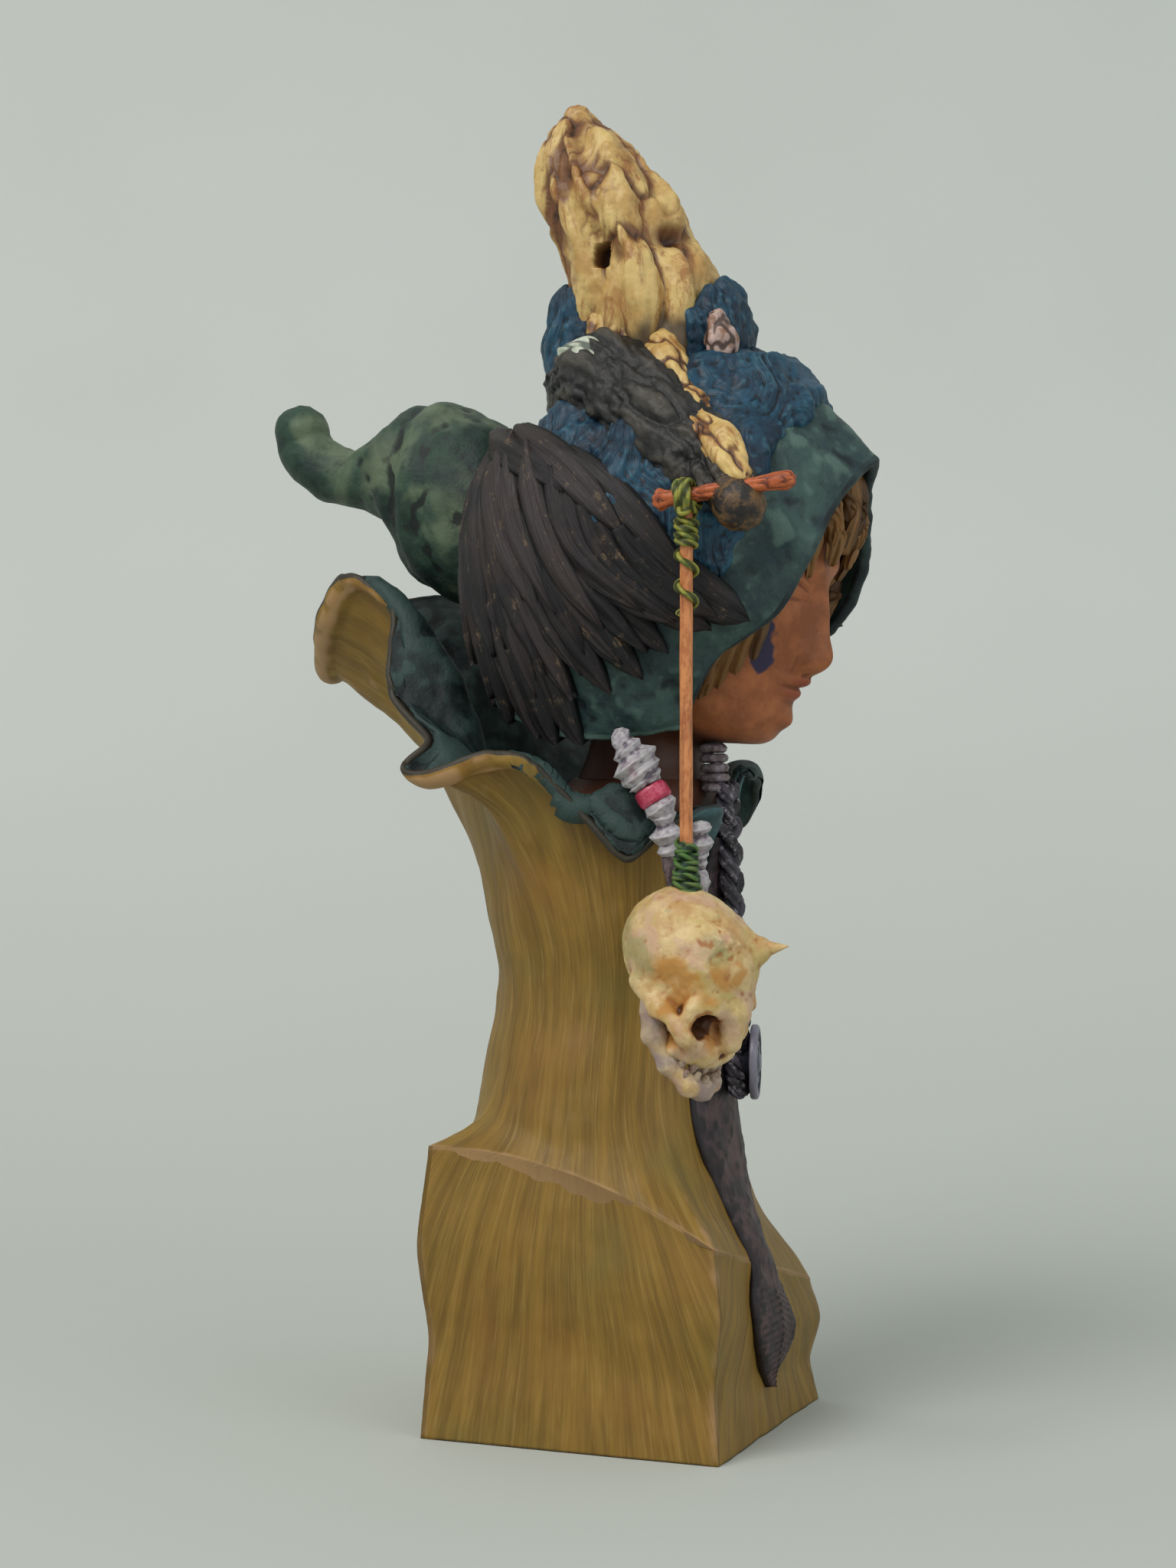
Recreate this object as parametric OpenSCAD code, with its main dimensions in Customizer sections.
// Display bust of a hooded figure on a carved plinth, with a swinging skull pendant.
// Millimetres. +Z is up, the figure faces -Y and its right side is -X. The origin is
// the centre of the plinth's underside.

/* [Plinth] */
// Side of the square plinth
plinth_w = 48; // [44:0.5:52]
// Height of the front right corner
front_right_h = 31.5; // [28:0.5:34]
// Height of the back right corner
back_right_h = 44.5; // [40:0.5:47]
// Height of the front left corner
front_left_h = 19.5; // [16:0.5:24]
// Height of the back left corner
back_left_h = 35; // [31:0.5:39]
// Rise of the top edge halfway along each side
edge_rise = 3.5; // [1:0.5:5]
// Depth of the wave in the carved sides
side_wave = 1; // [0.2:0.1:1.4]
// Height of the flat seat inside, where column and plinth are glued
seat_z = 30; // [27:0.5:32]

/* [Cape] */
// Width of the column at its waist
waist_w = 35; // [32:0.5:38]
// Depth of the waist in front of the axis
waist_front = 15.5; // [14:0.5:17]
// Depth of the waist behind the axis
waist_back = 19.8; // [18:0.2:21.6]
// Height of the waist
waist_z = 66; // [62:0.5:69]
// Height at which the foot has swept in from the plinth
sweep_z = 51; // [49:0.5:54]
// Height of the floor inside the cape
cup_z = 78; // [75:0.5:81]
// Thickness of the cape's wall
cape_wall = 1.6; // [1.2:0.1:2]
// Thickness of the green lining
lining_t = 1; // [0.6:0.1:1.4]

/* [Chest and head] */
// Height of the chest from the lining to the neck seam
chest_h = 21; // [19:0.5:23]
// Width of the chest at the shoulders
chest_w = 35; // [33:0.5:38]
// Width of the neck
neck_w = 20; // [18:0.5:22]
// Width of the head at the temples
head_w = 31; // [29:0.5:33]
// Forward lean of the head, in degrees
head_lean = 16; // [13:1:19]

/* [Hood and fur] */
// Widest part of the hood
hood_w = 49; // [47:0.5:52]
// Thickness of the hood's cloth
hood_t = 2; // [1.4:0.1:2.6]
// Thickest part of the fur cap
fur_t = 3.4; // [2.4:0.1:4.4]
// Radius of the tail's curled tip
tail_tip_r = 3.9; // [3.2:0.1:4.6]

/* [Feather mantle] */
// Half width of a feather
barb_w = 3.5; // [2.8:0.1:4.2]
// Height of a feather's spine over its base
barb_t = 1.5; // [1:0.1:2]
// Step up from one row of feathers to the next
row_lift = 0.9; // [0.5:0.1:1.3]

/* [Root] */
// Width of the root knob over its lumps
knob_w = 24; // [21:0.5:27]
// Height of the root knob's top over the neck seam
knob_top = 104; // [101:0.5:107]
// Radius of the limb's rounded tip
limb_tip_r = 3.7; // [3.3:0.1:4.1]

/* [Pendant] */
// Diameter of the twig through the limb
twig_d = 2.4; // [2:0.1:2.8]
// Distance of the pendant from the middle of the bust
reach = 31; // [30:0.5:34]
// Diameter of the pendant's rod
rod_d = 1.9; // [1.6:0.1:2.2]
// Thickness of the twine
twine_d = 1; // [0.8:0.1:1.2]
// Running clearance of the twine loop on the twig
loop_gap = 0.15; // [0.1:0.01:0.25]
// Distance from the twig down to the top of the skull
drop = 57; // [54:0.5:60]
// Width of the skull
skull_w = 17; // [15:0.5:18]

/* [Ornaments] */
// Thickness of the apron at its middle
apron_t = 1.2; // [0.9:0.1:1.6]
// Diameter of the medallion
medal_d = 11.5; // [10:0.5:12.5]
// Diameter of a throat bead
bead_d = 4.4; // [4:0.1:5]
// Diameter of the assembly pins
pin_d = 3; // [2:0.1:3.6]
// Radial clearance of the assembly pins
pin_gap = 0.05; // [0.02:0.01:0.1]

/* [Hidden] */

// Glue gap between pieces that are seated on each other
seat_gap = 0.03;
hair_front = 0.3;
lining_z = cup_z + lining_t;
bust_z = lining_z + chest_h;

// ---------- curves and surfaces ----------

function mix(a, b, t) = a * (1 - t) + b * t;
function unit(v) = v / norm(v);
function catmull(a, b, c, d, t) =
    0.5 * (2 * b + (c - a) * t + (2 * a - 5 * b + 4 * c - d) * t * t
    + (3 * b - a - 3 * c + d) * t * t * t);

// Point at t from 0 to 1 of the smooth curve through a list of points
function along(p, t) = let(n = len(p) - 1, i = max(0, min(floor(t * n), n - 1)))
    catmull(p[max(i - 1, 0)], p[i], p[i + 1], p[min(i + 2, n)], t * n - i);

// The same for a closed curve, where t may be any number of turns
function around(p, t) = let(n = len(p), x = (t - floor(t)) * n, i = floor(x))
    catmull(p[(i + n - 1) % n], p[i % n], p[(i + 1) % n], p[(i + 2) % n], x - i);

// A smooth hump of height 1 at x = 0 and width w
function hump(x, w) = exp(-pow(x / w, 2));

function oval(a, w, front, back) = [w * cos(a), (sin(a) < 0 ? front : back) * sin(a)];
function raise(p) = p + [0, 0, bust_z];
function raise4(x, y, z, r) = [x, y, z + bust_z, r];

// Solid skin over closed rings of points, with its ends closed by fans. Two skins that share
// rings in opposite order meet exactly when one of them is turned
module skin(rings, turned = false) {
    n = len(rings[0]);
    m = len(rings);
    first = [for (r = rings[0]) 1] * rings[0] / n;
    last = [for (r = rings[m - 1]) 1] * rings[m - 1] / n;
    points = concat([for (r = rings) each r], [first, last]);
    sides = [for (i = [0:m - 2], j = [0:n - 1]) let(a = i * n + j, b = i * n + (j + 1) % n)
        each turned ? [[a, a + n, b], [a + n, b + n, b]] : [[a, b + n, b], [a, a + n, b + n]]];
    ends = [for (j = [0:n - 1]) let(k = (j + 1) % n)
        each [[m * n, j, k], [m * n + 1, (m - 1) * n + k, (m - 1) * n + j]]];
    polyhedron(points, concat(sides, ends));
}

// Solid between two open grids of points of the same size, the second one inside the first
module sheet(outer, inner) {
    m = len(outer);
    n = len(outer[0]);
    half = m * n;
    points = concat([for (r = outer) each r], [for (r = inner) each r]);
    tops = [for (i = [0:m - 2], j = [0:n - 2]) let(a = i * n + j)
        each [[a, a + n + 1, a + 1], [a, a + n, a + n + 1]]];
    unders = [for (f = tops) [f[0] + half, f[2] + half, f[1] + half]];
    walls = concat(
        [for (j = [0:n - 2]) each [[j, j + 1, j + 1 + half], [j, j + 1 + half, j + half]]],
        [for (j = [0:n - 2]) let(a = (m - 1) * n + j)
            each [[a, a + half + 1, a + 1], [a, a + half, a + half + 1]]],
        [for (i = [0:m - 2]) let(a = i * n)
            each [[a, a + half, a + n + half], [a, a + n + half, a + n]]],
        [for (i = [0:m - 2]) let(a = i * n + n - 1)
            each [[a, a + n + half, a + half], [a, a + n, a + n + half]]]);
    polyhedron(points, concat(tops, unders, walls));
}

// Round-ended tube along a gently bending list of [x, y, z, radius], flattened across by flat
module tube(list, facets = 8, flat = 1) {
    n = len(list) - 1;
    function at(i) = let(b = list[i]) [b.x, b.y, b.z];
    whole = unit(at(n) - at(0));
    up_hint = abs(whole.z) < 0.8 ? [0, 0, 1] : [0, 1, 0];
    function ring(i, shift, r) = let(
        d = unit(at(min(i + 1, n)) - at(max(i - 1, 0))), side = unit(cross(d, up_hint)),
        up = cross(side, d), c = at(i) + d * shift * list[i][3])
        [for (j = [0:facets - 1]) let(a = 360 * (j + 0.5) / facets)
            c + r * list[i][3] * (flat * sin(a) * up - cos(a) * side)];
    skin(concat([ring(0, -0.85, 0.5)], [for (i = [0:n]) ring(i, 0, 1)], [ring(n, 0.85, 0.5)]));
}

// Rounded string of lumps: each entry is [x, y, z, radius]
module lumps(list, facets = 10) {
    for (i = [0:len(list) - 2]) hull() for (b = [list[i], list[i + 1]])
        translate([b.x, b.y, b.z]) sphere(b[3], $fn = facets);
}

// ---------- plinth and cape ----------

cols = 40;
wave_profile = [0, 0.5, 1, 0.3, -0.3, 0.2, 1];

function corner_mix(x, y) = let(u = x / plinth_w + 0.5, v = y / plinth_w + 0.5)
    mix(mix(front_right_h, front_left_h, u), mix(back_right_h, back_left_h, u), v)
    + edge_rise * (1 - pow(2 * y / plinth_w, 2));

function block_pt(k, t) = let(
    a = 360 * k / cols,
    p = [cos(a), sin(a)] / max(abs(cos(a)), abs(sin(a))),
    q = p * (plinth_w / 2 - side_wave * along(wave_profile, t)))
    [q.x, q.y, t * corner_mix(p.x * plinth_w / 2, p.y * plinth_w / 2)];

function seat_ring() = [for (k = [0:cols - 1]) let(p = block_pt(k, 1)) [p.x / 2, p.y / 2, seat_z]];

// Rim of the cape, anticlockwise from the figure's left side, heights over the neck seam
rim = [[27, 0, -2], [28, 9, 3], [29, 18, 6], [27, 26, 14], [21, 36, 27], [13, 45, 28],
    [4, 54, 18], [-7, 49, 26], [-13, 42, 32], [-16, 33, 26.5], [-21.5, 30.5, 13],
    [-30, 23, 2], [-28.5, 10, 4.5], [-26.5, 1, -2], [-23.5, -8.5, -12], [-19, -14, -7],
    [-11.5, -19.5, -4], [-5, -16.5, -8], [0, -15.5, -10], [4, -16.5, -5], [9, -17, 3],
    [15, -16.5, 4], [21, -11, -4], [26, -3, -7]];
// How far the collar rises inside each of these points before it folds down to the rim
fold = [0, 0, 0, 0, 0, 0, 0, 2, 4, 3, 1, 5, 5, 9, 14, 5, 0, 0, 0, 0, 0, 4, 9, 4];
rim_flare = [0.38, 0.62];
cup_level = 4 / 6;

function cape_pt(k, s) = let(
    a = 360 * k / cols,
    foot = block_pt(k, 1),
    swept = oval(a, mix(plinth_w, waist_w, 0.5) / 2, waist_front + 0.3, waist_back + 3.5),
    waist = oval(a, waist_w / 2, waist_front, waist_back),
    cup = oval(a, waist_w / 2 + 1.2, waist_front, waist_back + 1.8),
    lip = raise(around(rim, k / cols)))
    along([foot,
        [mix(foot.x, swept.x, 0.62), mix(foot.y, swept.y, 0.62), mix(foot.z, sweep_z, 0.42)],
        [swept.x, swept.y, sweep_z],
        [waist.x, waist.y, waist_z],
        [cup.x, cup.y, cup_z],
        [mix(cup.x, lip.x, rim_flare[0]), mix(cup.y, lip.y, rim_flare[0]),
            mix(cup_z, lip.z, rim_flare[1]) + around(fold, k / cols)],
        lip], s);

function cape_in(k, s, t) = let(
    p = cape_pt(k, s),
    across = cape_pt(k + 0.6, s) - cape_pt(k - 0.6, s),
    up = cape_pt(k, min(s + 0.02, 1)) - cape_pt(k, s - 0.02))
    p - t * unit(cross(across, up));

function cape_ring(s) = [for (k = [0:cols - 1]) cape_pt(k, s)];
function cape_inner_ring(s, t) = [for (k = [0:cols - 1]) cape_in(k, s, t)];
function floor_ring(t, z) = [for (p = cape_inner_ring(cup_level, t)) [p.x, p.y, z]];
cape_levels = [0, 0.07, 0.15, 0.24, 0.34, 0.44, 0.54, 0.64, 0.74, 0.83, 0.92, 1];
cup_levels = [1, 0.92, 0.83, 0.74];

module plinth_body() {
    skin(concat([for (t = [0:1 / 6:1]) [for (k = [0:cols - 1]) block_pt(k, t)]], [seat_ring()]));
}

module cape_body() {
    skin(concat([seat_ring()], [for (s = cape_levels) cape_ring(s)],
        [for (s = cup_levels) cape_inner_ring(s, cape_wall)], [floor_ring(cape_wall, cup_z)]),
        turned = true);
}

// The column up to its cup with no hollow, to cut what lies on its outside
module column_solid() {
    skin(concat([seat_ring()], [for (s = cape_levels) cape_ring(s)]), turned = true);
}

module lining_body() {
    full = cape_wall + lining_t;
    skin(concat([floor_ring(cape_wall, cup_z)],
        [for (i = [len(cup_levels) - 1:-1:0]) cape_inner_ring(cup_levels[i], cape_wall)],
        [for (s = cup_levels) cape_inner_ring(s, full)], [floor_ring(full, lining_z)]));
}

module pin(p, length, gap = 0) {
    translate(p - [0, 0, length / 2]) cylinder(length, d = pin_d + 2 * gap, $fn = 32);
}

plinth_pin_h = 20;
neck_pin_h = 16;
root_pin_h = 22;
neck_at = [0, -3, bust_z];
root_at = [0, -3, bust_z + 66];

module plinth() {
    color("#8a6c34") difference() {
        plinth_body();
        pin([0, 0, seat_z], plinth_pin_h, pin_gap);
    }
}

module plinth_pin() {
    color("#c9a24a") pin([0, 0, seat_z], plinth_pin_h);
}

module cape() {
    color("#94743a") difference() {
        cape_body();
        pin([0, 0, seat_z], plinth_pin_h, pin_gap);
    }
}

module cape_lining() {
    color("#2f4a48") lining_body();
}

// ---------- chest and head ----------

module chest_body() {
    w = chest_w / 2;
    // each entry: share of the chest's height, half width, front, back, shift forward
    form = [[0, w - 3.5, 10.5, 13, 0], [0.35, w - 2, 12, 14, 0], [0.6, w - 0.5, 12.5, 14, 0.5],
        [0.78, w, 12.5, 13.5, 1.5], [0.9, w - 3, 12, 12, 2.5], [1, neck_w / 2 + 1.6, 11, 10.5, 3]];
    skin([for (f = form) [for (j = [0:31]) let(q = oval(360 * j / 32, f[1], f[2], f[3]))
        [q.x, q.y - f[4], lining_z + f[0] * chest_h]]]);
}

// Sections of the neck and head: y, height over the seam, lean, half width, front, back
head_form = [[-3, 0, 0, 0.68, 10.5, 10], [-3.6, 3.6, 4, 0.58, 9, 9], [-5, 7.5, 13, 0.56, 9.5, 9.5],
    [-8, 11, 21, 0.64, 15.5, 12.5], [-9.5, 14.5, 20, 0.75, 17.2, 15],
    [-11.5, 20.5, head_lean + 1, 0.87, 17, 18], [-13.5, 27, head_lean, 0.96, 17.4, 19.5],
    [-15.3, 33.5, head_lean, 1, 17.6, 20], [-17, 40, head_lean, 0.98, 17.8, 20],
    [-18.7, 46, head_lean, 0.88, 16.6, 18], [-20, 51, head_lean, 0.66, 12.6, 13.5],
    [-20.8, 54, head_lean, 0.3, 6, 7]];

// Height that the features stand out of the plain oval, by angle from the front and section
function features(a, t) = let(w = abs(a))
    3.9 * hump(w, 9) * hump(t - 5.5, 0.5) + 2.1 * hump(w, 7) * hump(t - 6.3, 0.7)
    + 1.2 * hump(w - 9, 5) * hump(t - 5.35, 0.25)
    - 2 * hump(w - 24, 11) * hump(t - 6.95, 0.42) + 1.1 * hump(w - 24, 8) * hump(t - 6.9, 0.22)
    + 0.9 * hump(w - 20, 16) * hump(t - 7.5, 0.3)
    + 1.2 * hump(w, 15) * hump(t - 4.95, 0.13) + 1.1 * hump(w, 13) * hump(t - 4.68, 0.13)
    + 1.3 * hump(w, 14) * hump(t - 4.1, 0.3) + 0.8 * hump(w - 42, 14) * hump(t - 6, 0.8);

function head_pt(x, t) = let(
    a = 180 * sign(x) * pow(abs(x), 1.45),
    f = along(head_form, t / (len(head_form) - 1)),
    depth = (abs(a) < 90 ? f[4] : f[5]) + features(a, t),
    side = f[3] * (head_w / 2 + 0.5 * features(a, t)) * sin(a),
    out = depth * cos(a))
    raise([-side, f[0] - out * cos(f[2]), f[1] - out * sin(f[2])]);

head_rows = [0, 0.8, 1.6, 2.4, 3, 3.6, 4, 4.35, 4.65, 4.85, 5.1, 5.4, 5.7, 6.1, 6.5, 6.8,
    7.1, 7.4, 7.9, 8.6, 9.4, 10.3, 11];

module head_body() {
    skin([for (t = head_rows) [for (j = [0:27]) head_pt(1 - j / 14, t)]]);
}

// ---------- hood ----------

// Arches of the hood from the face opening back to the nape. Each runs from the bottom of one
// side to the top: share of the half width, y, height over the neck seam
arches = [[[0.53, -14.5, 8], [0.7, -20, 17], [0.72, -30, 24.5], [0.6, -35, 34],
        [0.33, -37.5, 42.5], [0, -40.3, 48.5]],
    [[0.66, -10, 7], [0.84, -15, 17], [0.9, -22, 27], [0.8, -27, 39], [0.47, -30, 51],
        [0, -32, 56.5]],
    [[0.78, -4, 6], [0.94, -7, 17], [1, -11, 30], [0.92, -14, 44], [0.55, -17, 57],
        [0, -19, 63.5]],
    [[0.78, 4, 7], [0.94, 3, 18], [1, 1, 31], [0.92, -1, 45], [0.57, -3, 56.5], [0, -4, 62.5]],
    [[0.68, 12.5, 10], [0.85, 13, 20], [0.88, 13.5, 32], [0.8, 12, 43.5], [0.5, 10, 52.5],
        [0, 9, 57]],
    [[0.38, 19, 13], [0.53, 20, 22], [0.57, 20.5, 32], [0.51, 20, 42], [0.32, 18.5, 49],
        [0, 17.5, 52]]];

// Control points of the arch at s, from 0 at the face to 1 at the nape, right side to left
function arch(s) = let(half = [for (j = [0:5]) let(p = along([for (a = arches) a[j]], s))
        [p.x * hood_w / 2, p.y, p.z]])
    concat([for (p = half) [-p.x, p.y, p.z]], [for (j = [4:-1:0]) half[j]]);

// Point of the hood: u from -1 at the bottom of the right side, over 0 at the top, to 1
function hood_pt(s, u) = raise(along(arch(s), (u + 1) / 2));
function hood_normal(s, u) = let(d = 0.02, a = min(max(s, d), 1 - d), b = min(max(u, d - 1), 1 - d))
    unit(cross(hood_pt(a, b + d) - hood_pt(a, b - d), hood_pt(a + d, b) - hood_pt(a - d, b)));
function hood_off(s, u, t) = hood_pt(s, u) + t * hood_normal(s, u);

hood_s = [for (i = [0:10]) i / 10];
hood_u = [for (j = [0:16]) j / 8 - 1];

// The hood with everything inside it, grown or shrunk by t, from one arch to another
module hood_fill(t, from = 0, to = 1) {
    skin([for (s = hood_s) if (s >= from - 0.001 && s <= to + 0.001)
        [for (u = hood_u) hood_off(s, u, t)]]);
}

module hood_shell() {
    sheet([for (s = hood_s) [for (u = hood_u) hood_pt(s, u)]],
        [for (s = hood_s) [for (u = hood_u) hood_off(s, u, -hood_t)]]);
}

module hood() {
    color("#3c5a55") difference() {
        hood_shell();
        pin(root_at, root_pin_h, pin_gap);
    }
}

module hair_mass() {
    color("#6b4a24") difference() {
        hood_fill(-hood_t - seat_gap, hair_front, 0.9);
        head_body();
        pin(root_at, root_pin_h, pin_gap);
    }
}

// A lock of hair: a few tapering lumps along a curve from p to q that bows by b
module lock(p, q, b, r) {
    mid = mix(p, q, 0.5) + b;
    list = [for (t = [0, 0.4, 0.75, 1]) let(c = mix(mix(p, mid, t), mix(mid, q, t), t))
        [c.x, c.y, c.z, r * (1.15 - t)]];
    tube(list, 6);
}

module hair_fringe() {
    color("#7a5426") difference() {
        for (side = [-1, 1], i = [0:3]) {
            root = hood_off(0.1, side * (0.05 + 0.11 * i), -hood_t - 1.6);
            tip = head_pt(side * (0.06 + 0.1 * i), 8.1 - 0.28 * i) + [0, -1.2, 0];
            lock(root, tip, [0, -2.4, 0], 1.9);
        }
        hood_shell();
        head_body();
        hair_solid();
    }
}

// What fills the hood behind the face, grown into the hood's cloth, to cut pieces in front of it
module hair_solid() {
    hood_fill(-hood_t / 2, hair_front, 0.9);
}

// The hood grown by the glue gap, to seat what lies on it
module hood_seat() {
    hood_fill(seat_gap);
}

module side_locks() {
    color("#7a5426") difference() {
        for (side = [-1, 1], i = [0:2]) {
            root = hood_off(0.06, side * (0.52 + 0.1 * i), -hood_t - 2);
            tip = hood_off(0.01 * i - 0.04, side * (0.8 + 0.07 * i), -hood_t - 2.4);
            lock(root, tip, [0, -1.6, -0.6], 2.2);
        }
        hood_shell();
        head_body();
        hair_solid();
    }
}

// Sections of the tail behind the hood: y, height, turn, half width, half height
tail_form = [[15, 37.5, 0, 11, 12], [22, 40.5, 10, 12.6, 14.5], [29.5, 44.7, 22, 12.2, 14],
    [35, 48.6, 18, 10, 11], [40.5, 49.3, 12, 7.6, 7.6], [46, 48, 16, 5.4, 5],
    [50.2, 48.6, 30, 4.6, 4.6], [53.6, 50.8, 50, 4.3, 4.3], [55.4, 53.6, 72, 4.2, tail_tip_r + 0.3],
    [55.8, 56.4, 88, 4.2, tail_tip_r + 0.3], [55.8, 58.6, 92, 3.2, 3.2], [55.6, 60, 94, 1, 1]];

module tail_body() {
    rows = 18;
    skin([for (i = [0:rows]) let(f = along(tail_form, i / rows))
        [for (j = [0:12]) let(a = 360 * j / 13, h = f[4] * sin(a), w = f[3] * cos(a))
            raise([-w, f[0] - h * sin(f[2]), f[1] + h * cos(f[2])])]]);
}

module hood_tail() {
    color("#3f6357") difference() {
        tail_body();
        hood_seat();
    }
}

// ---------- fur cap ----------

cap_s = [for (i = [0:9]) mix(0.2, 0.76, i / 9)];
cap_u = [for (j = [0:16]) j / 16 * 1.1 - 0.55];
// Swirling tufts of the fur, about 14 mm apart
function fur_tuft(s, u) = 1.1 * sin(1180 * s + 160 * sin(400 * u)) * cos(1000 * u + 140 * sin(700 * s));
function fur_swell(s, u) = 0.7 + (fur_t + fur_tuft(s, u)) * pow(max(0, (1 - pow(abs(u / 0.56), 3))
    * (1 - pow(abs((s - 0.48) / 0.3), 3))), 0.5);

module cap_body() {
    sheet([for (s = cap_s) [for (u = cap_u) hood_off(s, u, fur_swell(s, u))]],
        [for (s = cap_s) [for (u = cap_u) hood_off(s, u, -0.8)]]);
}

module cap_tufts() {
    for (side = [-1, 1], i = [0:4]) {
        s = mix(0.26, 0.68, i / 4);
        p = hood_off(s, side * 0.5, 1.2);
        q = hood_off(s - 0.01, side * (0.6 + 0.03 * (i % 2)), 0.3);
        tube([[p.x, p.y, p.z, 1.8], [q.x, q.y, q.z, 0.7]], 6);
    }
}

module cap_solid() {
    cap_body();
    cap_tufts();
}

module fur_cap() {
    color("#1f4a66") difference() {
        cap_solid();
        hood_seat();
        pin(root_at, root_pin_h, pin_gap);
    }
}

// A curved lobe of fur standing against the root, from angle a to b round its axis
module ear(c, r, a, b, low, high, thick) {
    n = 9;
    skin([for (i = [0:n]) let(t = i / n, g = mix(a, b, t), swell = pow(sin(180 * mix(0.08, 0.92, t)), 0.5),
            half_h = swell * (high - low) / 2 + thick / 2)
        [for (j = [0:9]) let(f = -36 * j, k = r + thick * swell * (cos(f) + 0.15 * sin(3 * f + 200 * t)),
                z = low + (high - low) / 2 - 2 * (1 - swell) + half_h * sin(f))
            raise([c.x + k * cos(g), c.y + k * sin(g), z])]]);
}

module ear_rear_body() {
    ear([0, 0], 9, 28, 172, 60, 75, 3.2);
}

module ear_front_body() {
    ear([0, -5], 11.5, 205, 335, 62, 75, 3.4);
}

module fur_ear_rear() {
    color("#235a70") difference() {
        ear_rear_body();
        knob_body();
        limb_body();
        cap_solid();
        hood_seat();
    }
}

module fur_ear_front() {
    color("#235a70") difference() {
        ear_front_body();
        knob_body();
        cap_solid();
        hood_seat();
    }
}

// ---------- root ----------

// Sections of the knob: height under its top, y, half depth, share of the half width
knob_form = [[42, -2, 10, 0.8], [34, -2.3, 10.4, 0.86], [26, -2.9, 11.8, 0.96], [20, -0.2, 11.4, 1],
    [14, 2.4, 11, 0.96], [9, 4.8, 9.2, 0.84], [5, 6.4, 7, 0.64], [1.7, 7.5, 4.2, 0.4],
    [0, 8, 1.4, 0.12]];

// Drips down the knob: the angle round it, the depth under its top where each starts and ends,
// half its spread in degrees and how far it stands out
knob_drips = [[100, 4, 20, 14, 1.4], [126, 2, 26, 11, 1.8], [151, 8, 33, 10, 1.6],
    [176, 1, 19, 11, 1.7], [197, 15, 38, 11, 1.7], [216, 3, 22, 10, 1.8], [239, 9, 34, 11, 1.6],
    [264, 2, 24, 12, 1.6], [289, 12, 36, 12, 1.5], [313, 4, 26, 12, 1.6], [339, 8, 32, 12, 1.5],
    [6, 2, 24, 13, 1.6], [36, 10, 34, 12, 1.6], [68, 3, 26, 13, 1.6], [170, 27, 41, 11, 1.4],
    [224, 27, 41, 11, 1.4]];

function knob_drip(a, depth) = [for (d = knob_drips) 1] * [for (d = knob_drips)
    d[4] * exp(-pow(((a - d[0] + 540) % 360 - 180) / d[3], 2)
        - pow((2 * depth - d[1] - d[2]) / (d[2] - d[1]), 4))];

module knob_body() {
    rows = 16;
    skin([for (i = [0:rows]) let(t = i / rows, f = along(knob_form, t))
        [for (j = [0:29]) let(a = 12 * j + 4, swell = 1 + 0.05 * cos(5 * a + 90 * sin(300 * t)),
                out = (knob_drip(a, f[0]) - 0.6) * min(1, f[3] / 0.6))
            raise([(knob_w / 2 * f[3] * swell + out) * cos(a), f[1] + (f[2] * swell + out) * sin(a),
                knob_top - f[0]])]]);
}

module root_knob() {
    color("#c9a869") difference() {
        knob_body();
        // weathered slot and hollow in the wood
        translate([-knob_w / 2 - 1, 2.4, bust_z + knob_top - 23.4]) cube([8, 1.6, 3.4], center = true);
        translate([-knob_w / 2 + 5.6, -11.4, bust_z + knob_top - 20.4]) sphere(2.6, $fn = 12);
        cap_solid();
        hood_seat();
        pin(root_at, root_pin_h, pin_gap);
    }
}

// Where the limb lies on the hood: (s, u) on the hood, height over it, radius
limb_seats = [[0.61, -0.14, 1.2, 7.4], [0.495, -0.24, -0.4, 7], [0.365, -0.325, 1, 5.8]];
limb_end = [0.6 - reach, -29.2, 39.6, limb_tip_r];
limb_bend = [limb_end.x + 6.6, -24, 44.6, 4.2];
limb_path = concat([raise4(-3, 6, 61, 6), raise4(-6.6, 2.4, 61, 6.6)],
    [for (f = limb_seats) let(p = hood_off(f[0], f[1], f[2])) [p.x, p.y, p.z, f[3]]],
    [for (f = [limb_bend, limb_end]) raise4(f[0], f[1], f[2], f[3])]);

module limb_body() {
    tube(limb_path, 14);
}

runner_seats = [[0.48, -0.165, 1.95, 3], [0.44, -0.205, 1.35, 2.2], [0.395, -0.255, 1.4, 3.2],
    [0.365, -0.29, 2.6, 2.4]];

module runner_body() {
    ends = [[6.6, -23.6, 49, 2.8], [4, -26.2, 45.8, 2.8], [2, -28.6, 43.2, 2.2]];
    tube(concat([raise4(-9, -9, 64, 3.4)],
        [for (f = runner_seats) let(p = hood_off(f[0], f[1], f[2])) [p.x, p.y, p.z, f[3]]],
        [for (f = ends) raise4(f[0] - reach, f[1], f[2], f[3])]), 10);
}

module root_limb() {
    color("#3f3a35") difference() {
        limb_body();
        knob_body();
        cap_solid();
        hood_seat();
        twig_solid(0.02);
    }
}

module root_runner() {
    color("#cbb07a") difference() {
        runner_body();
        limb_body();
        knob_body();
        ear_front_body();
        cap_solid();
        hood_seat();
        twig_solid(0.02);
    }
}

module root_pin() {
    color("#c9a24a") pin(root_at, root_pin_h);
}

module neck_pin() {
    color("#c9a24a") pin(neck_at, neck_pin_h);
}

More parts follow.
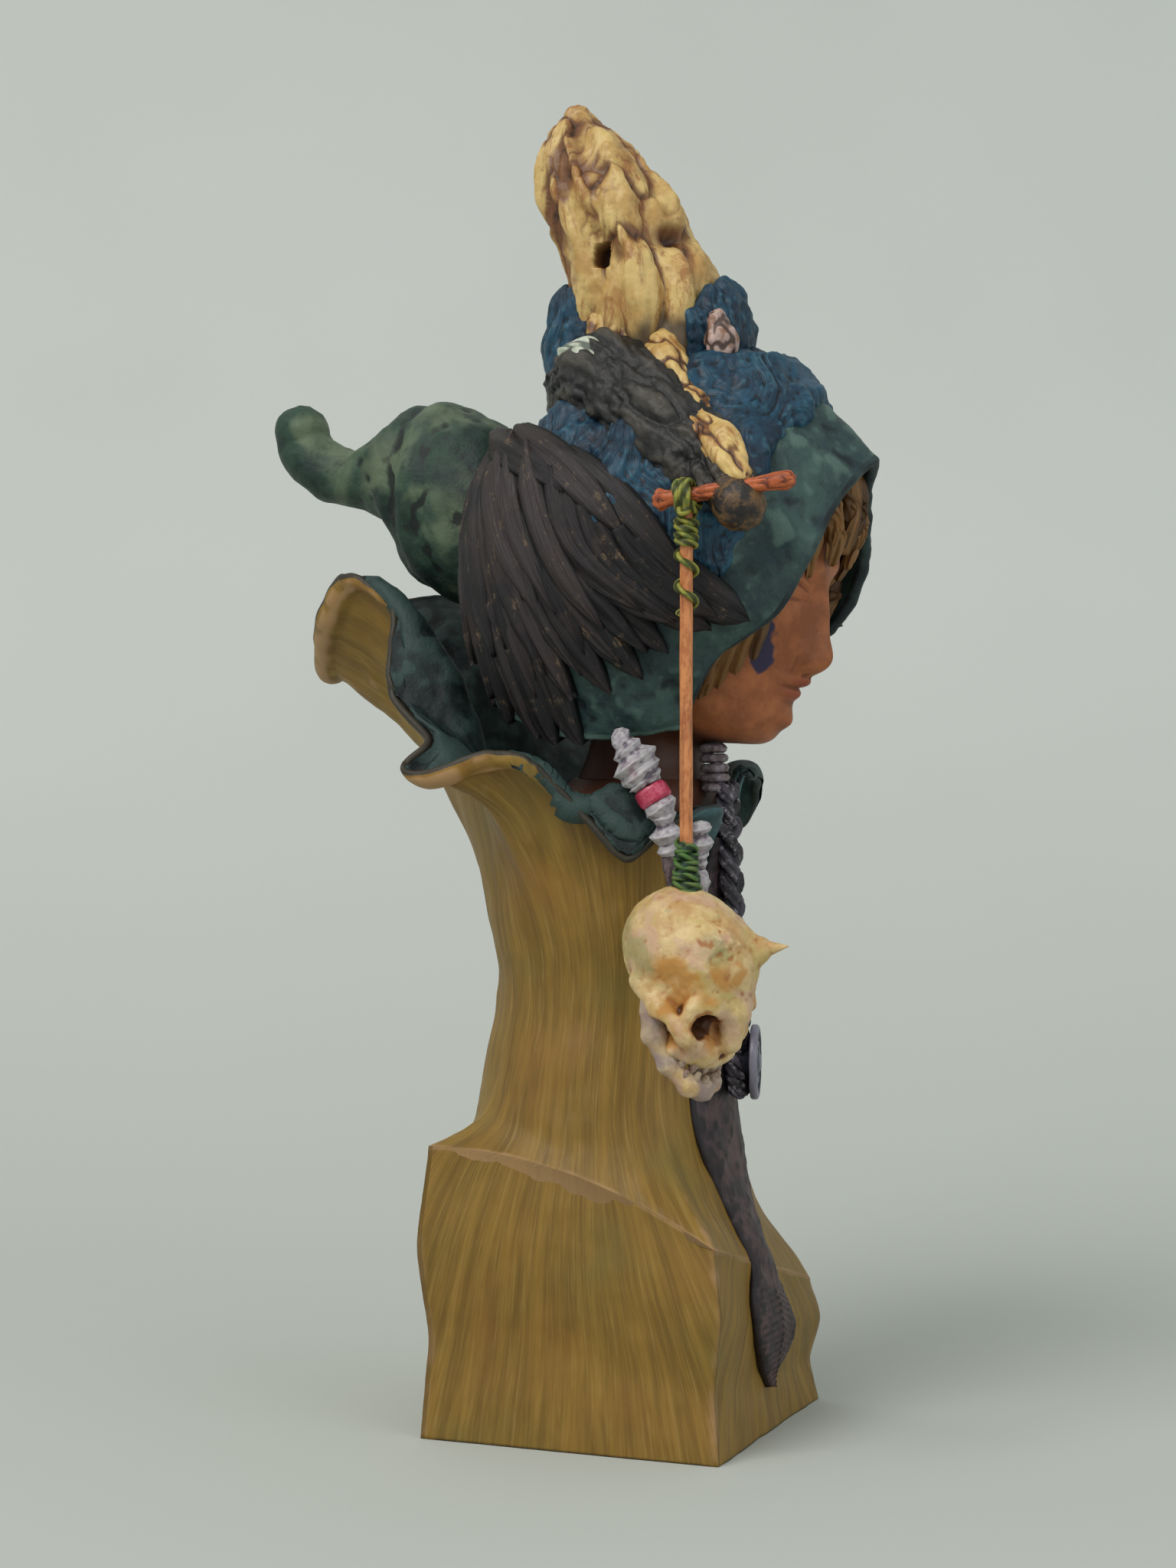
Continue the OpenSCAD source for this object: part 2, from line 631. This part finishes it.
module bone_chip() {
    color("#b9bfae") difference() {
        union() {
            tube([raise4(-10, 8, 66, 2.4), raise4(-13, 2.5, 65.6, 3), raise4(-15.4, -3, 63.4, 1.8)], 10);
            for (i = [0:1.25:5]) tube([raise4(-11 - i * 0.7, 6.5 - 1.6 * i, 69, 0.7),
                raise4(-14.4 - i * 0.6, 5.2 - 1.6 * i, 63.6, 0.7)], 6);
        }
        limb_body();
        knob_body();
        ear_rear_body();
        cap_solid();
        hood_seat();
    }
}

module pink_chip() {
    color("#a88a84") difference() {
        union() {
            tube([raise4(-7.6, -17.4, 69.4, 1.6), raise4(-7.2, -18, 65.8, 2.6), raise4(-6.8, -18, 62, 1.8)], 10);
            for (i = [0:5]) tube([raise4(-10, -16.6, 68.6 - 1.1 * i, 0.5),
                raise4(-6, -19.9, 68 - 1.1 * i, 0.5)], 6);
        }
        ear_front_body();
        knob_body();
        cap_solid();
        hood_seat();
    }
}

// ---------- feather mantle ----------

// One barb lying on the hood, from root to tip in the hood's own (s, u), on the side given,
// bowed by b and raised by lift
module barb(side, root, tip, b, w, lift) {
    n = 4;
    function at(t) = let(p = mix(root, tip, t) + b * 4 * t * (1 - t)) [p.x, side * p.y];
    function half(t) = w * [0.6, 0.95, 1, 0.8, 0.15][round(t * n)];
    function edge(t, k) = let(
        a = at(t), c = hood_off(a.x, a.y, 0), d = at(t + 0.02), e = at(t - 0.02),
        out = hood_normal(a.x, a.y),
        ahead = unit(hood_off(d.x, d.y, 0) - hood_off(e.x, e.y, 0)),
        across = cross(ahead, out))
        [for (z = k == 0 ? [lift + barb_t * (1 - 0.4 * t), -1] : [lift + 0.35 * barb_t, -1.4])
            c + across * half(t) * k + out * z];
    skin([for (i = [0:n]) let(e = [for (k = [-1:1]) edge(i / n, k)])
        [e[0][0], e[1][0], e[2][0], e[2][1], e[1][1], e[0][1]]]);
}

// Rows of barbs: each barb is its root, its tip and its bow, in (s, u) with u measured from the top
lower_row = [[[0.9, 0.3], [0.94, 0.88], [0.02, 0]], [[0.88, 0.26], [0.86, 0.98], [0.02, 0]],
    [[0.85, 0.26], [0.76, 1.02], [0.03, 0]], [[0.82, 0.28], [0.65, 1.05], [0.04, 0]],
    [[0.8, 0.3], [0.56, 1.05], [0.04, 0.02]], [[0.77, 0.32], [0.47, 1.02], [0.05, 0.02]]];
middle_row = [[[0.86, 0.28], [0.75, 0.8], [0.04, 0]], [[0.82, 0.3], [0.63, 0.87], [0.04, 0]],
    [[0.78, 0.32], [0.5, 0.88], [0.05, 0.02]], [[0.74, 0.35], [0.38, 0.86], [0.05, 0.03]],
    [[0.7, 0.38], [0.3, 0.82], [0.05, 0.03]], [[0.65, 0.42], [0.24, 0.74], [0.05, 0.03]]];
upper_row = [[[0.8, 0.26], [0.6, 0.7], [0.05, 0]], [[0.74, 0.3], [0.47, 0.76], [0.05, 0]],
    [[0.68, 0.36], [0.36, 0.72], [0.05, 0.02]], [[0.6, 0.44], [0.25, 0.68], [0.04, 0.03]],
    [[0.5, 0.5], [0.16, 0.66], [0.02, 0.03]], [[0.4, 0.52], [0.08, 0.61], [0, 0.02]]];
row_lifts = [0.1, 0.1 + row_lift, 0.1 + 2 * row_lift];

module row(side, list, lift) {
    for (f = list) barb(side, f[0], f[1], f[2], barb_w, lift);
}

module mantle(side) {
    row(side, lower_row, row_lifts[0]);
    row(side, middle_row, row_lifts[1]);
    row(side, upper_row, row_lifts[2]);
}

module feathers(side) {
    color("#3a3034") difference() {
        mantle(side);
        hood_seat();
        cap_solid();
        tail_body();
    }
}

// ---------- pendant ----------

twig_rise = 6.8;
pivot = [-reach, -21.4, bust_z + 41.3];
twig_back = 4;
twig_front = 16.2;
twig_knob = 1;
loop_w = 2.6;
loop_r = twig_d / 2 + loop_gap + 1.25;
rod_top = pivot.z - loop_r + 0.9;
skull_top = pivot.z - drop;
binding_h = 7.4;
rod_end = skull_top - 3;
skull_at = [pivot.x, pivot.y - 0.6, skull_top - 9.5];
skull_pitch = 35;
skull_yaw = -24;

module on_twig() {
    translate(pivot) rotate([90 - twig_rise, 0, 0]) children();
}

module twig_solid(gap = 0) {
    on_twig() translate([0, 0, -twig_back]) cylinder(twig_back + twig_front, d = twig_d + 2 * gap, $fn = 24);
}

module twig() {
    color("#a5562c") {
        twig_solid();
        on_twig() translate([0, 0, -twig_back]) cylinder(twig_knob, d = twig_d + 1.1, $fn = 24);
        on_twig() translate([0, 0, twig_front - 0.8]) cylinder(0.8, d = twig_d + 0.6, $fn = 24);
    }
}

module twine_loop() {
    inner = twig_d / 2 + loop_gap;
    color("#8f9440") difference() {
        on_twig() rotate_extrude($fn = 48) {
            translate([inner, -loop_w / 2 + 0.3]) square([0.7, loop_w - 0.6]);
            for (z = [-1:1]) translate([inner + 0.75, z * 0.8]) circle(0.5, $fn = 24);
        }
        rod_solid();
    }
}

module rod_solid() {
    translate([pivot.x, pivot.y, rod_end]) cylinder(rod_top - rod_end, d = rod_d, $fn = 32);
}

module rod() {
    color("#bd7a45") rod_solid();
}

// Windings of twine round the rod, from the loop down
module rod_twine() {
    turns = 4;
    top = pivot.z - loop_r - twine_d * 0.6;
    color("#8f9440") {
        for (i = [0:turns - 1]) translate([pivot.x, pivot.y, top - i * twine_d])
            rotate_extrude($fn = 48) translate([(rod_d + twine_d) / 2, 0]) circle(d = twine_d, $fn = 24);
        difference() {
            skin([for (i = [0:20]) let(t = i / 20, a = 600 * t, r = (rod_d + twine_d) / 2 - 0.08,
                    z = top - (turns - 0.5) * twine_d - 7 * t)
                [for (j = [0:5]) let(q = 60 * j, e = r + twine_d * 0.5 * (1.1 - t * 0.3) * cos(q))
                    [pivot.x + e * cos(a), pivot.y - e * sin(a), z + 0.5 * twine_d * sin(q)]]]);
            rod_solid();
        }
    }
}

// Radius of the binding's widest turn, how deep it stands in the skull and the gap round it
binding_r = 3;
binding_sink = 0.7;
binding_gap = 0.04;

module binding_solid() {
    n = 7;
    step = binding_h / n;
    translate([pivot.x, pivot.y, skull_top - binding_sink]) rotate([0, 0, 2]) rotate_extrude($fn = 48)
        polygon(concat([[0, 0]],
            [for (i = [0:n - 1]) let(r = mix(binding_r, rod_d / 2 + 0.6, pow(i / (n - 1), 0.7)))
            each [[r - 0.3, i * step], [r, (i + 0.3) * step], [r, (i + 0.7) * step]]],
            [[rod_d / 2 + 0.3, binding_h], [0, binding_h]]));
}

module skull_binding() {
    color("#4c7434") difference() {
        binding_solid();
        rod_solid();
    }
}

module in_skull() {
    translate(skull_at) rotate([0, 0, skull_yaw]) rotate([skull_pitch, 0, 0]) scale(skull_w / 17) children();
}

horn_root = [3.6, -5.4, 5.6];
horn_way = [0.35, -0.82, 0.52];

module horn_body() {
    n = 6;
    for (i = [0:n - 1]) hull() for (t = [i / n, (i + 1) / n])
        translate(horn_root + horn_way * (7.4 * t - 0.8) + [0, 0, 0.5 * t * t])
            sphere(2 * pow(1 - t, 0.9) + 0.18, $fn = 8);
}

module teeth(z, y, spread, h) {
    for (i = [-4:3]) let(a = (i + 0.5) * 19) translate([spread * sin(a), y - spread * 1.05 * cos(a), z])
        rotate([0, 0, a]) hull() {
            translate([0, 0, h / 2]) cube([1.35, 1.1, 0.1], center = true);
            translate([0, 0, -h / 2]) cube([1.1, 0.7, 0.1], center = true);
        }
}

module skull_bones() {
    lumps([[0, 2.6, 0.9, 8.4], [0, -2.2, 0.5, 8.1]], 12);
    lumps([[-5, -7.6, -2.6, 1.5], [0, -9.2, -2, 1.6], [5, -7.6, -2.6, 1.5]], 8);
    for (m = [-1, 1]) {
        tube([[m * 5.4, -7.7, -6.7, 1.7], [m * 7.4, -3.4, -6.4, 1.15], [m * 7.2, 1.2, -5, 1.15]], 7);
        tube([[m * 5.5, -7.3, -6.2, 1.3], [m * 5.6, -7.1, -3.1, 1.3]], 6);
        tube([[m * 5.1, -7.5, -7.1, 1.45], [m * 2, -8, -8.7, 1.9]], 8);
    }
    tube([[0, -9.2, -2.4, 1.4], [0, -10, -5.2, 1], [0, -9.4, -6.6, 0.8]], 6);
    lumps([[-2.2, -6.6, -8.6, 2.5], [0, -8, -8.8, 2.7], [2.2, -6.6, -8.6, 2.5]], 8);
    lumps([[0, -2, -6, 4.4], [0, -5, -8, 3.6]], 8);
    // stump of the broken right horn
    tube([[-3.6, -4.4, 4.6, 2.4], [-3.8, -5, 5.6, 2.3], [-4, -5.6, 6.8, 1.8]], 9);
}

module skull_cuts() {
    for (m = [-1, 1]) translate([m * 3.4, -9.8, -5.2]) sphere(2.3, $fn = 10);
    hull() {
        translate([0, -11, -6.8]) sphere(0.7, $fn = 8);
        translate([0, -11, -8.4]) sphere(1.25, $fn = 8);
    }
}

module skull() {
    color("#d8bf8c") difference() {
        in_skull() skull_bones();
        in_skull() skull_cuts();
        in_skull() horn_body();
        in_skull() teeth(-11, -3.4, 5.3, 2.2);
        translate([pivot.x, pivot.y, skull_top - binding_sink])
            cylinder(binding_sink + 3, r = (binding_r + binding_gap) / cos(7.5), $fn = 24);
        rod_solid();
    }
}

module skull_horn() {
    color("#c9a06c") in_skull() difference() {
        horn_body();
        lumps([[0, 2.6, 0.9, 8.4], [0, -2.2, 0.5, 8.1]], 12);
    }
}

module jaw_bones() {
    half = [[2.6, -9.4, -15.6, 1.45], [5, -4.8, -14.6, 1.35], [6.5, -0.8, -12.6, 1.25]];
    tube(concat([for (i = [2:-1:0]) [-half[i].x, half[i].y, half[i].z, half[i][3]]],
        [[0, -10.4, -15.8, 1.55]], half), 7);
    for (m = [-1, 1]) tube([[m * 6.5, -0.2, -12.2, 1.15], [m * 6.9, 1.3, -8.4, 1.05],
        [m * 6.9, 1.9, -5.6, 1]], 6);
}

module skull_jaw() {
    color("#cdb583") in_skull() difference() {
        jaw_bones();
        skull_bones();
        teeth(-13.6, -4.4, 5.2, 2);
    }
}

module upper_teeth() {
    color("#b9a58e") in_skull() difference() {
        teeth(-11, -3.4, 5.3, 2.2);
        teeth(-13.6, -4.4, 5.2, 2);
    }
}

module lower_teeth() {
    color("#b09c88") in_skull() teeth(-13.6, -4.4, 5.2, 2);
}

// ---------- necklace, strap and apron ----------

// Puts children with their Z axis along the line from p to q
module facing(p, q) {
    d = q - p;
    translate(p) rotate([0, acos(d.z / norm(d)), atan2(d.y, d.x)]) children();
}

string_top = raise([-22.6, -7.4, 7.4]);
string_bend = raise([-21.6, -14.4, -4.4]);
string_end = raise([-20.6, -15.6, -17.4]);
upper_string = norm(string_bend - string_top);
lower_string = norm(string_end - string_bend);

// Ridged whorls of shell: each entry is [start, end, radius at start, in the middle, at end]
module whorls(list) {
    n = len(list) - 1;
    rotate_extrude($fn = 48) polygon(concat([[0, list[0][0]]],
        [for (w = list) each [[w[2], w[0]], [w[3] - 0.2, mix(w[0], w[1], 0.3)],
            [w[3], mix(w[0], w[1], 0.5)], [w[4], w[1] - 0.1]]],
        [[list[n][4], list[n][1]], [0, list[n][1]]]));
}

ring_from = upper_string - 4.4;
ring_to = upper_string - 1.6;

module spiral_shell() {
    color("#b3a8b4") difference() {
        facing(string_top, string_bend) whorls([[0, 2, 1, 1.7, 1.3], [2, 3.8, 1.3, 2.6, 1.8],
            [3.8, 6.2, 1.8, 3.8, 2.4], [6.2, 8, 2.4, 3.2, 2.4], [8, ring_from, 2.2, 2.9, 2.1]]);
        cape_body();
        lining_body();
        chest_body();
        mantle(-1);
        hood_seat();
    }
}

module red_ring() {
    color("#b83350") difference() {
        facing(string_top, string_bend) translate([0, 0, ring_from])
            cylinder(ring_to - ring_from, r = 2.5, $fn = 32);
        cape_body();
    }
}

module shell_beads() {
    color("#c3bcc6") difference() {
        union() {
            facing(string_top, string_bend) whorls([[ring_to, upper_string + 0.8, 2.1, 2.5, 1.6]]);
            difference() {
                facing(string_bend, string_end) whorls([[-0.6, 1.8, 1.3, 2, 1.3], [1.8, 4.6, 1.3, 2.5, 1.2],
                    [4.6, 6.6, 1.1, 1.5, 1]]);
                facing(string_top, string_bend) translate([0, 0, ring_to - 12]) cylinder(12, r = 6, $fn = 32);
            }
        }
        cape_body();
    }
}

module shell_spike() {
    color("#5b4a50") facing(string_bend, string_end)
        translate([0, 0, 6.6]) cylinder(lower_string - 6.6, r1 = 1.2, r2 = 0.3, $fn = 24);
}

side_top = raise([-15.6, -18, -6.6]);
side_end = raise([-15.6, -18.4, -17]);

module side_shell() {
    color("#c3bcc6") difference() {
        facing(side_top, side_end) whorls([[-0.6, 1.4, 1, 1.7, 1.1], [1.4, 4, 1.1, 2, 1],
            [4, 5, 1, 1.2, 0.8], [5, 6.4, 0.6, 0.9, 0.6]]);
        cape_body();
        lining_body();
    }
}

module shell_drop() {
    color("#cfc8cf") facing(side_top, side_end) translate([0, 0, 6.4]) rotate_extrude($fn = 32)
        polygon([[0, 0], [0.6, 0], [1.2, 1.2], [1.25, 2], [0.8, 3.4], [0, 4.2]]);
}

beads_n = 5;
bead_h = 1.5;
beads_at = raise([-3.4, -16.2, -2]);

module beads_solid() {
    for (i = [0:beads_n - 1]) translate(beads_at + [0, 0.12 * i, i * bead_h]) rotate_extrude($fn = 32)
        polygon([[0, 0], [bead_d / 2 - 0.7, 0], [bead_d / 2 - 0.15, 0.3], [bead_d / 2, bead_h / 2],
            [bead_d / 2 - 0.15, bead_h - 0.3], [bead_d / 2 - 0.7, bead_h], [0, bead_h]]);
}

module throat_beads() {
    color("#8f7a72") beads_solid();
}

module chest() {
    color("#5a2f1c") difference() {
        chest_body();
        pin(neck_at, neck_pin_h, pin_gap);
        beads_solid();
    }
}

module head() {
    color("#b0693f") difference() {
        head_body();
        pin(neck_at, neck_pin_h, pin_gap);
        beads_solid();
    }
}

strap_top = raise([-2.4, -17.6, -2]);
strap_end = raise([-0.6, -18.6, -38]);
strap_n = 8;

// Two strands that cross over strap_n times, as one skin
module strap_body() {
    rows = 3 * strap_n;
    skin([for (i = [0:rows]) let(t = i / rows, sway = sin(180 * strap_n * t),
            c = mix(strap_top, strap_end, t))
        [for (j = [0:7]) let(a = 45 * j + 22.5, w = 2.3 + 0.8 * sway * sign(cos(a)))
            c + [w * cos(a), -(1.4 + 0.4 * sway * sin(a + 50)) * sin(a), 0.9 * sway * cos(a)]]]);
}

module braided_strap() {
    color("#4a3f4c") difference() {
        strap_body();
        cape_body();
        lining_body();
        chest_body();
        beads_solid();
        apron_body();
        medal_solid();
    }
}

// Apron: way up the front (1 at the cape's rim, 0 at its foot, -1 at the plinth's underside),
// right edge, left edge, both in columns from the middle
apron_form = [[0.94, -2.1, 2.1], [0.8, -2.3, 2.2], [0.64, -2.5, 2.3], [0.5, -2.9, 2.5],
    [0.36, -3, 2.6], [0.24, -2.8, 2.2], [0.14, -2.2, 1.5], [0.06, -1.9, 1.1], [-0.03, -1.9, 0.9],
    [-0.14, -2.2, 1.4], [-0.26, -2.4, 2.2], [-0.4, -2.1, 2.4], [-0.55, -1.3, 1.9],
    [-0.68, -0.4, 1], [-0.74, 0, 0.5]];
front_k = 0.75 * cols;

function front_pt(k, v) = v > 0 ? cape_pt(k, v) : block_pt(k, 1 + v);
// Point of the apron: x from -1 to 1 across it, t raised over the bust's surface
function apron_pt(x, row, t) = let(
    f = along(apron_form, row), v = f[0], k = front_k + mix(f[1], f[2], (x + 1) / 2),
    across = front_pt(k + 0.5, v) - front_pt(k - 0.5, v), up = front_pt(k, v + 0.05) - front_pt(k, v - 0.05))
    front_pt(k, v) + t * unit(cross(across, up));

module apron_body() {
    rows = 24;
    across = [-1, -0.85, -0.3, 0.3, 0.85, 1];
    under = cape_wall / 2;
    sheet([for (i = [rows:-1:0]) [for (x = across)
            apron_pt(x, i / rows, abs(x) == 1 ? apron_t * 0.5 : apron_t + 0.3 * (1 - abs(x)))]],
        [for (i = [rows:-1:0]) [for (x = across) apron_pt(x, i / rows, -under)]]);
}

module apron() {
    color("#4b3740") difference() {
        apron_body();
        column_solid();
        plinth_body();
        medal_solid();
    }
}

medal_at = [0, -waist_front - 2.5, bust_z - 43.4];

module medal_solid() {
    r = medal_d / 2;
    translate(medal_at) rotate([90, 0, 0]) rotate_extrude($fn = 48)
        polygon([[0, 0], [r * 0.6, 0], [r * 0.6, 2.6], [r - 0.3, 2.6], [r, 2.9], [r, 4.1], [r - 0.4, 4.4],
            [r - 0.9, 4.4], [r - 1.1, 4], [r * 0.35, 4], [r * 0.3, 4.5], [0, 4.7]]);
}

module medallion() {
    color("#3c4450") medal_solid();
}

plinth();
plinth_pin();
cape();
cape_lining();
apron();
chest();
neck_pin();
head();
hair_mass();
hair_fringe();
side_locks();
hood();
hood_tail();
fur_cap();
fur_ear_rear();
fur_ear_front();
bone_chip();
pink_chip();
feathers(-1);  // feathers_right
feathers(1);  // feathers_left
root_pin();
root_knob();
root_limb();
root_runner();
twig();
twine_loop();
rod();
rod_twine();
skull_binding();
skull();
skull_horn();
skull_jaw();
upper_teeth();
lower_teeth();
spiral_shell();
shell_beads();
red_ring();
shell_spike();
side_shell();
shell_drop();
throat_beads();
braided_strap();
medallion();
